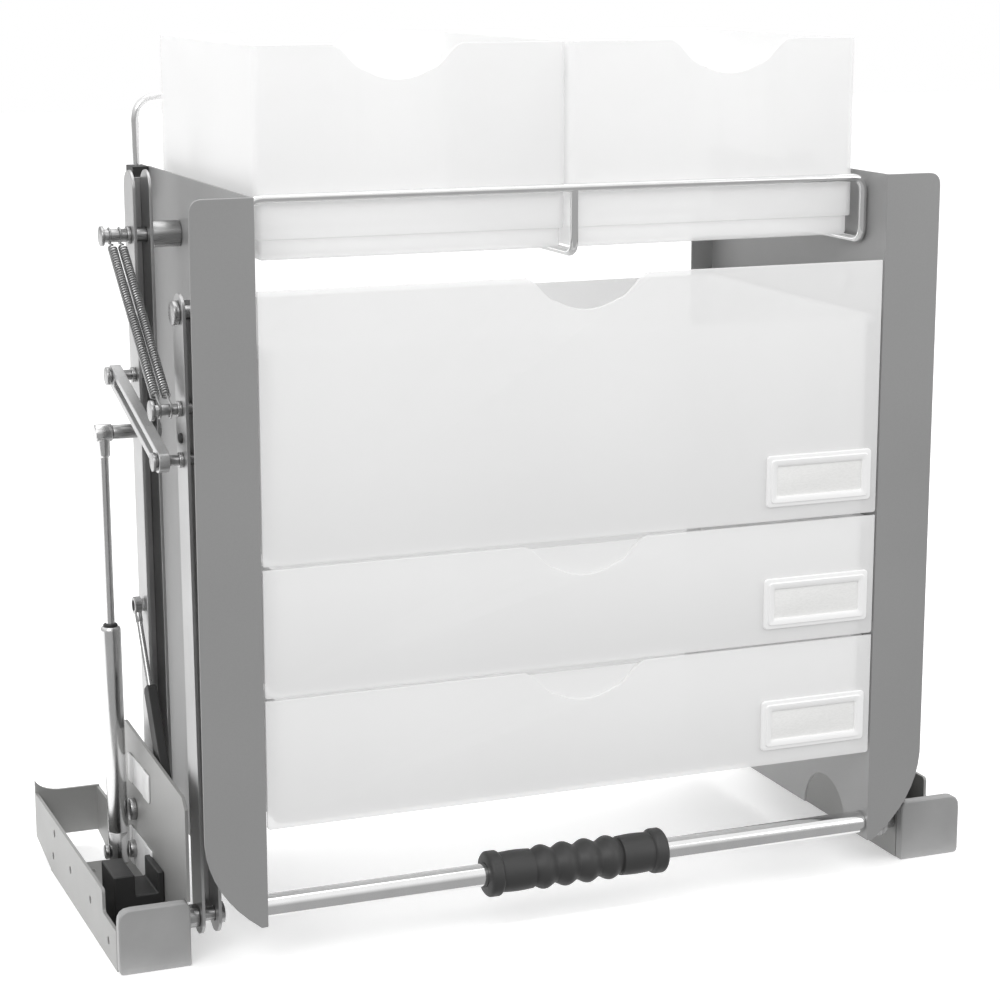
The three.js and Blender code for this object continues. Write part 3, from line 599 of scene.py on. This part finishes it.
def damper_rod(label):
    node = f"damper_rod_{label}"
    x = middle(node).x
    foot = Vector(joint("damper_swing")["pos_m"])
    foot.x = x
    axis = Vector(joint("damper_rod_slide")["axis"]).normalized()
    head = foot + axis * ((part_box(node)[1].z - DAMPER_EYE - foot.z) / axis.z)
    length = (head - foot).length
    bm = bmesh.new()
    lathe(bm, foot, axis, [(DAMPER_ROD_START, DAMPER_ROD_RADIUS), (length - 4.6 * MM, DAMPER_ROD_RADIUS)],
          segments=24)
    collar = [(length - 11 * MM, 1.9 * MM), (length - 10.6 * MM, 2.2 * MM), (length - 4.8 * MM, 2.2 * MM)]
    lathe(bm, foot, axis, collar, segments=24)
    half, bevel, bore = DAMPER_EYE_HALF, 0.4 * MM, 3.5 * MM
    eye = [(-half, bore), (half, bore), (half, DAMPER_EYE - bevel), (half - bevel, DAMPER_EYE),
           (bevel - half, DAMPER_EYE), (-half, DAMPER_EYE - bevel)]
    lathe(bm, head, X_AXIS, eye, closed=True)
    add_piece(f"{node}_turned", bm, PIN_METAL, "damper_rods", [node])


for label, side in SIDES:
    lift_spring(label, "inner")
    lift_spring(label, "outer")
    gas_strut(label)
    damper_rod(label)


# ---------------------------------------------------------------- wires and handle

# From the middle of a wire to the side of its CAD node's box, in wire radii.
WIRE_FLAT = 0.92
SHELF_BEND, GUARD_BEND = 9 * MM, 16 * MM
MIDDLE_WIRE = 3 * MM
CROSS_WIRE_INSET = 4 * MM


def bin_shelf():
    low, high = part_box("bin_shelf")
    r = WIRE_RADIUS
    x, front, rear = high.x - r, low.y + r, high.y
    z, top = low.z + r * WIRE_FLAT, high.z - r * WIRE_FLAT
    cross = rear - CROSS_WIRE_INSET
    bm = bmesh.new()
    loop = [(-x, rear, z), (-x, front, z), (-x, front, top), (x, front, top), (x, front, z), (x, rear, z)]
    tube(bm, bent(loop, SHELF_BEND), r)
    hook = [(MIDDLE_WIRE, front, top), (MIDDLE_WIRE, front, z), (MIDDLE_WIRE, rear, z)]
    tube(bm, bent(hook, SHELF_BEND), r)
    tube(bm, [(-x, cross, z), (x, cross, z)], r)
    weld = [(-2 * MM, 1.6 * MM), (2 * MM, 1.6 * MM)]
    for wire_x in (-x, MIDDLE_WIRE, x):
        lathe(bm, Vector((wire_x, cross, z)), Z_AXIS, weld, segments=16)
    add_piece("bin_shelf_wires", bm, CHROME, "carriage", ["bin_shelf"])


def rear_guard():
    low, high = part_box("rear_guard")
    r = WIRE_RADIUS
    x, y, top = high.x - r * WIRE_FLAT, (low.y + high.y) / 2, high.z - r * WIRE_FLAT
    path = bent([(-x, y, low.z), (-x, y, top), (x, y, top), (x, y, low.z)], GUARD_BEND, 12)
    bm = tube(bmesh.new(), path, r)
    add_piece("rear_guard_wire", bm, CHROME, "carriage", ["rear_guard"])


TUBE_BORE, TUBE_RADIUS = 6 * MM, 7 * MM


def handle_tube():
    centre = middle("handle_tube")
    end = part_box("handle_tube")[1].x
    profile = [(-end, TUBE_BORE), (-end, TUBE_RADIUS), (end, TUBE_RADIUS), (end, TUBE_BORE)]
    bm = lathe(bmesh.new(), centre, X_AXIS, profile, closed=True, segments=64)
    add_piece("handle_tube_chrome", bm, CHROME, "carriage", ["handle_tube"])


GRIP_BORE = 7.3 * MM
COLLAR_RADIUS, COLLAR_WIDTH, COLLAR_EDGE = 14 * MM, 9 * MM, 1.6 * MM
PLAIN_RADIUS, PLAIN_END = 12.1 * MM, 30 * MM
WAIST_RADIUS, RIB_HEIGHT = 10.7 * MM, 2.9 * MM
RIBS = 4


def grip_radius(t, length):
    """Outer radius of the grip, t metres from its left end: two collars and four ribs between waists."""
    from_end = min(t, length - t)
    if from_end < COLLAR_WIDTH:
        edge = min(from_end, COLLAR_WIDTH - from_end) / (2.2 * MM)
        return COLLAR_RADIUS - COLLAR_EDGE * max(0.0, 1 - edge) ** 2
    if from_end < PLAIN_END:
        share = math.pi * (from_end - COLLAR_WIDTH) / (PLAIN_END - COLLAR_WIDTH)
        return PLAIN_RADIUS + 0.5 * MM * math.sin(share)
    pitch = (length - 2 * PLAIN_END) / RIBS
    wave = (from_end - PLAIN_END) / pitch
    return WAIST_RADIUS + RIB_HEIGHT * (0.5 - 0.5 * math.cos(2 * math.pi * wave)) ** 0.7


def handle_grip():
    low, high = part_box("handle_grip")
    centre = middle("handle_grip")
    length = high.x - low.x
    steps = 220
    profile = [(-length / 2, GRIP_BORE)]
    for i in range(steps + 1):
        t = length * i / steps
        profile.append((t - length / 2, grip_radius(t, length)))
    profile.append((length / 2, GRIP_BORE))
    bm = lathe(bmesh.new(), centre, X_AXIS, profile, closed=True, segments=64)
    add_piece("handle_grip_ribbed", bm, RUBBER, "carriage", ["handle_grip"], smooth=60)


bin_shelf()
rear_guard()
handle_tube()
handle_grip()


# ---------------------------------------------------------------- drawers, labels and bins

NOTCH_HALF = 40 * MM
NOTCH_DEPTH = 20 * MM
NOTCH_FLAT = 0.5
NOTCH_SAG = 0.28
DRAWER_NOTCH, BIN_NOTCH = 2 * MM, 105 * MM


def notch_drop(x, notch_x):
    """How far the rim dips at x for the finger notch."""
    t = abs(x - notch_x) / NOTCH_HALF
    if t >= 1:
        return 0.0
    if t < NOTCH_FLAT:
        return NOTCH_DEPTH * (1 - NOTCH_SAG * (t / NOTCH_FLAT) ** 2)
    fall = (t - NOTCH_FLAT) / (1 - NOTCH_FLAT)
    return NOTCH_DEPTH * (1 - NOTCH_SAG) * (1 - fall * fall * (3 - 2 * fall))


def open_box(bm, low, high, wall, radius, notch_x=None, step=0.0):
    """A moulded box with rounded corners and rim, open at the top, lofted from rings of points."""

    def ring(inset, height=None, drop=0.0):
        points = rounded_rectangle(low.x + inset, high.x - inset, low.y + inset, high.y - inset,
                                   max(radius - inset, 0.6 * MM), side_steps=60)
        placed = []
        for x, y in points:
            z = height
            if z is None:
                on_face = y < low.y + radius or y > high.y - radius
                z = high.z - drop - (notch_drop(x, notch_x) if on_face and notch_x is not None else 0)
            placed.append(Vector((x, y, z)))
        return placed

    rim = 0.5 * MM
    rings = [ring(2.2 * MM + step, low.z), ring(0.7 * MM + step, low.z + 0.7 * MM),
             ring(step, low.z + 2.2 * MM)]
    shoulder = low.z + 12 * MM
    if step:
        rings += [ring(step, shoulder - 0.6 * MM), ring(step * 0.8, shoulder), ring(0.3 * MM, shoulder),
                  ring(0, shoulder + 0.6 * MM)]
    rings += [ring(0, None, rim), ring(rim * 0.3, None, rim * 0.3), ring(rim, None), ring(wall - rim, None),
              ring(wall - rim * 0.3, None, rim * 0.3), ring(wall, None, rim)]
    if step:
        rings += [ring(wall, shoulder + wall), ring(wall + step, shoulder + wall * 0.6)]
    floor = low.z + wall
    rings += [ring(wall + step, floor + 1.5 * MM), ring(wall + step + 0.5 * MM, floor + 0.5 * MM),
              ring(wall + step + 1.5 * MM, floor)]
    return loft(bm, rings)


def notched_panel(bm, low, high, notch_x, edge=0.6 * MM, steps=140):
    """An upright panel facing front, with rounded edges and a finger notch in its upper edge."""

    def ring(y, inset):
        left, right, bottom = low.x + inset, high.x - inset, low.z + inset
        corner = 1.5 * MM
        near = corner * 0.3
        points = [(left, bottom + corner), (left + near, bottom + near), (left + corner, bottom),
                  (right - corner, bottom), (right - near, bottom + near), (right, bottom + corner)]
        for i in range(steps + 1):
            x = right + (left - right) * i / steps
            points.append((x, high.z - inset - notch_drop(x, notch_x)))
        return [Vector((x, y, z)) for x, z in points]

    return loft(bm, [ring(y, inset) for y, inset in eased(low.y, high.y, edge)])


PANEL_THICKNESS = 2.6 * MM
TRAY_HALF = 191.5 * MM
TRAY_WALL = 2.2 * MM
BIN_WALL, BIN_STEP = 2.2 * MM, 2.5 * MM
BOX_CORNER = 5 * MM
LIP_OUTER, LIP_START = 196.9 * MM, 9.4 * MM
SIDE_DROP = {"top": 34 * MM, "middle": 2 * MM, "bottom": 2 * MM}


def lip(bm, side, y0, y1, top):
    """The ledge along a drawer's side that slides on its runner."""
    x0, x1 = sorted((side * (TRAY_HALF - 0.4 * MM), side * LIP_OUTER))
    rings = []
    for y, inset in eased(y0, y1, 0.5 * MM):
        outline = rounded_rectangle(x0, x1, top - TRAY_WALL + inset, top - inset, 0.5 * MM, 3)
        rings.append([Vector((x, y, z)) for x, z in outline])
    loft(bm, rings)


def drawer(name):
    node = f"drawer_{name}"
    low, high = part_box(node)
    bm = bmesh.new()
    notched_panel(bm, low, Vector((high.x, low.y + PANEL_THICKNESS, high.z)), DRAWER_NOTCH)
    side_top = high.z - SIDE_DROP[name]
    tray_low = Vector((-TRAY_HALF, low.y + PANEL_THICKNESS - 0.3 * MM, low.z + 1 * MM))
    open_box(bm, tray_low, Vector((TRAY_HALF, high.y, side_top)), TRAY_WALL, BOX_CORNER)
    for _, side in SIDES:
        lip(bm, side, low.y + LIP_START, high.y - 0.5 * MM, side_top)
    add_piece(f"{node}_moulded", bm, FROSTED, f"{name}_drawer", [node])


LABEL_MARGIN = 6.5 * MM


def label_holder(name):
    node = f"label_holder_{name}"
    low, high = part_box(node)
    back, front = high.y, low.y
    margin = LABEL_MARGIN

    def ring(inset, y, radius):
        outline = rounded_rectangle(low.x + inset, high.x - inset, low.z + inset, high.z - inset, radius, 5)
        return [Vector((x, y, z)) for x, z in outline]

    groove = front + 0.9 * MM
    rings = [ring(0, back, 2.5 * MM), ring(0, front + 1.6 * MM, 2.5 * MM),
             ring(0.4 * MM, front + 1.1 * MM, 2.3 * MM),
             ring(1.6 * MM, groove, 2 * MM), ring(2.4 * MM, groove, 2 * MM), ring(2.9 * MM, front, 2 * MM),
             ring(margin - 1.2 * MM, front, 1.6 * MM), ring(margin, front + 0.8 * MM, 1.2 * MM),
             ring(margin, back, 1.2 * MM)]
    bm = loft(bmesh.new(), rings, closed=True)
    add_piece(f"{node}_frame", bm, LABEL_FRAME, f"{name}_drawer", [node])

    outline = eased(back - 0.9 * MM, back - 0.1 * MM, 0.15 * MM)
    rings = [ring(margin - 0.4 * MM + inset, y, 0.8 * MM) for y, inset in outline]
    add_piece(f"label_card_{name}", loft(bmesh.new(), rings), PAPER, f"{name}_drawer", [])


def storage_bin(label, side):
    node = f"bin_{label}"
    low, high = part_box(node)
    bm = open_box(bmesh.new(), low, high, BIN_WALL, BOX_CORNER, side * BIN_NOTCH, step=BIN_STEP)
    add_piece(f"{node}_moulded", bm, FROSTED, f"{label}_bin", [node])


for drawer_name in ("top", "middle", "bottom"):
    drawer(drawer_name)
    label_holder(drawer_name)
for label, side in SIDES:
    storage_bin(label, side)


# ---------------------------------------------------------------- stage, light and camera

FLOOR_FRONT = -0.112


def stage_step():
    """A pale cabinet floor that ends just in front of the lift, so that the lowered carriage clears it."""
    half, back, drop = 6.0, 8.0, 4.0
    bm = bmesh.new()
    corner = 4 * MM
    near = corner * 0.3
    outline = [(back, -drop), (FLOOR_FRONT, -drop), (FLOOR_FRONT, -corner), (FLOOR_FRONT + near, -near),
               (FLOOR_FRONT + corner, 0), (back, 0)]
    loft(bm, [[Vector((x, y, z)) for y, z in outline] for x in (-half, half)])
    mesh = bpy.data.meshes.new("cabinet_floor")
    bmesh.ops.recalc_face_normals(bm, faces=bm.faces)
    bm.to_mesh(mesh)
    bm.free()
    floor = bpy.data.objects.new("cabinet_floor", mesh)
    bpy.context.scene.collection.objects.link(floor)
    finish = Finish("pale_floor", 0.6)
    finish.colour(finish.ramp(finish.noise(5), (0.93, 0.93, 0.93), (0.95, 0.95, 0.95)))
    finish.glow(FLOOR_GLOW)
    mesh.materials.append(finish.material)


def area_light(name, place_at, target, size, energy):
    light = bpy.data.lights.new(name, "AREA")
    light.shape = "RECTANGLE"
    light.size, light.size_y = size
    light.energy = energy
    lamp = bpy.data.objects.new(name, light)
    lamp.location = place_at
    lamp.rotation_euler = (Vector(target) - Vector(place_at)).to_track_quat("-Z", "Y").to_euler()
    bpy.context.scene.collection.objects.link(lamp)


def soft_world():
    """White behind the object, with a grey band near the horizon for metal to reflect."""
    world = bpy.data.worlds.new("studio")
    world.use_nodes = True
    nodes, links = world.node_tree.nodes, world.node_tree.links
    background = nodes["Background"]
    direction = nodes.new("ShaderNodeTexCoord")
    split = nodes.new("ShaderNodeSeparateXYZ")
    links.new(direction.outputs["Generated"], split.inputs["Vector"])
    ramp = nodes.new("ShaderNodeValToRGB")
    ramp.color_ramp.elements[0].position = 0.0
    ramp.color_ramp.elements[0].color = (0.42, 0.42, 0.42, 1)
    ramp.color_ramp.elements[1].position = 0.55
    ramp.color_ramp.elements[1].color = (1, 1, 1, 1)
    links.new(split.outputs["Z"], ramp.inputs["Fac"])
    path = nodes.new("ShaderNodeLightPath")
    mix = nodes.new("ShaderNodeMix")
    mix.data_type = "RGBA"
    links.new(path.outputs["Is Camera Ray"], mix.inputs["Factor"])
    links.new(ramp.outputs["Color"], mix.inputs["A"])
    mix.inputs["B"].default_value = (1, 1, 1, 1)
    links.new(mix.outputs["Result"], background.inputs["Color"])
    background.inputs["Strength"].default_value = 1.0
    bpy.context.scene.world = world


def photo_camera():
    camera = bpy.data.objects.new("camera", bpy.data.cameras.new("camera"))
    camera.location = CAMERA_PLACE
    camera.rotation_euler = (math.radians(90 - CAMERA_DIP), 0, math.radians(-CAMERA_TURN))
    camera.data.lens = CAMERA_LENS
    camera.data.sensor_width = 36
    bpy.context.scene.collection.objects.link(camera)
    bpy.context.scene.camera = camera


stage_step()
soft_world()
area_light("key", (-1.6, -1.8, 1.9), (0, 0, 0.25), (1.6, 1.2), 22)
area_light("fill", (1.8, -1.6, 1.0), (0, 0, 0.25), (1.4, 1.4), 9)
area_light("top", (0.2, 0.3, 2.4), (0, 0, 0.2), (2.0, 2.0), 16)
photo_camera()
bpy.context.scene.view_settings.view_transform = "Standard"
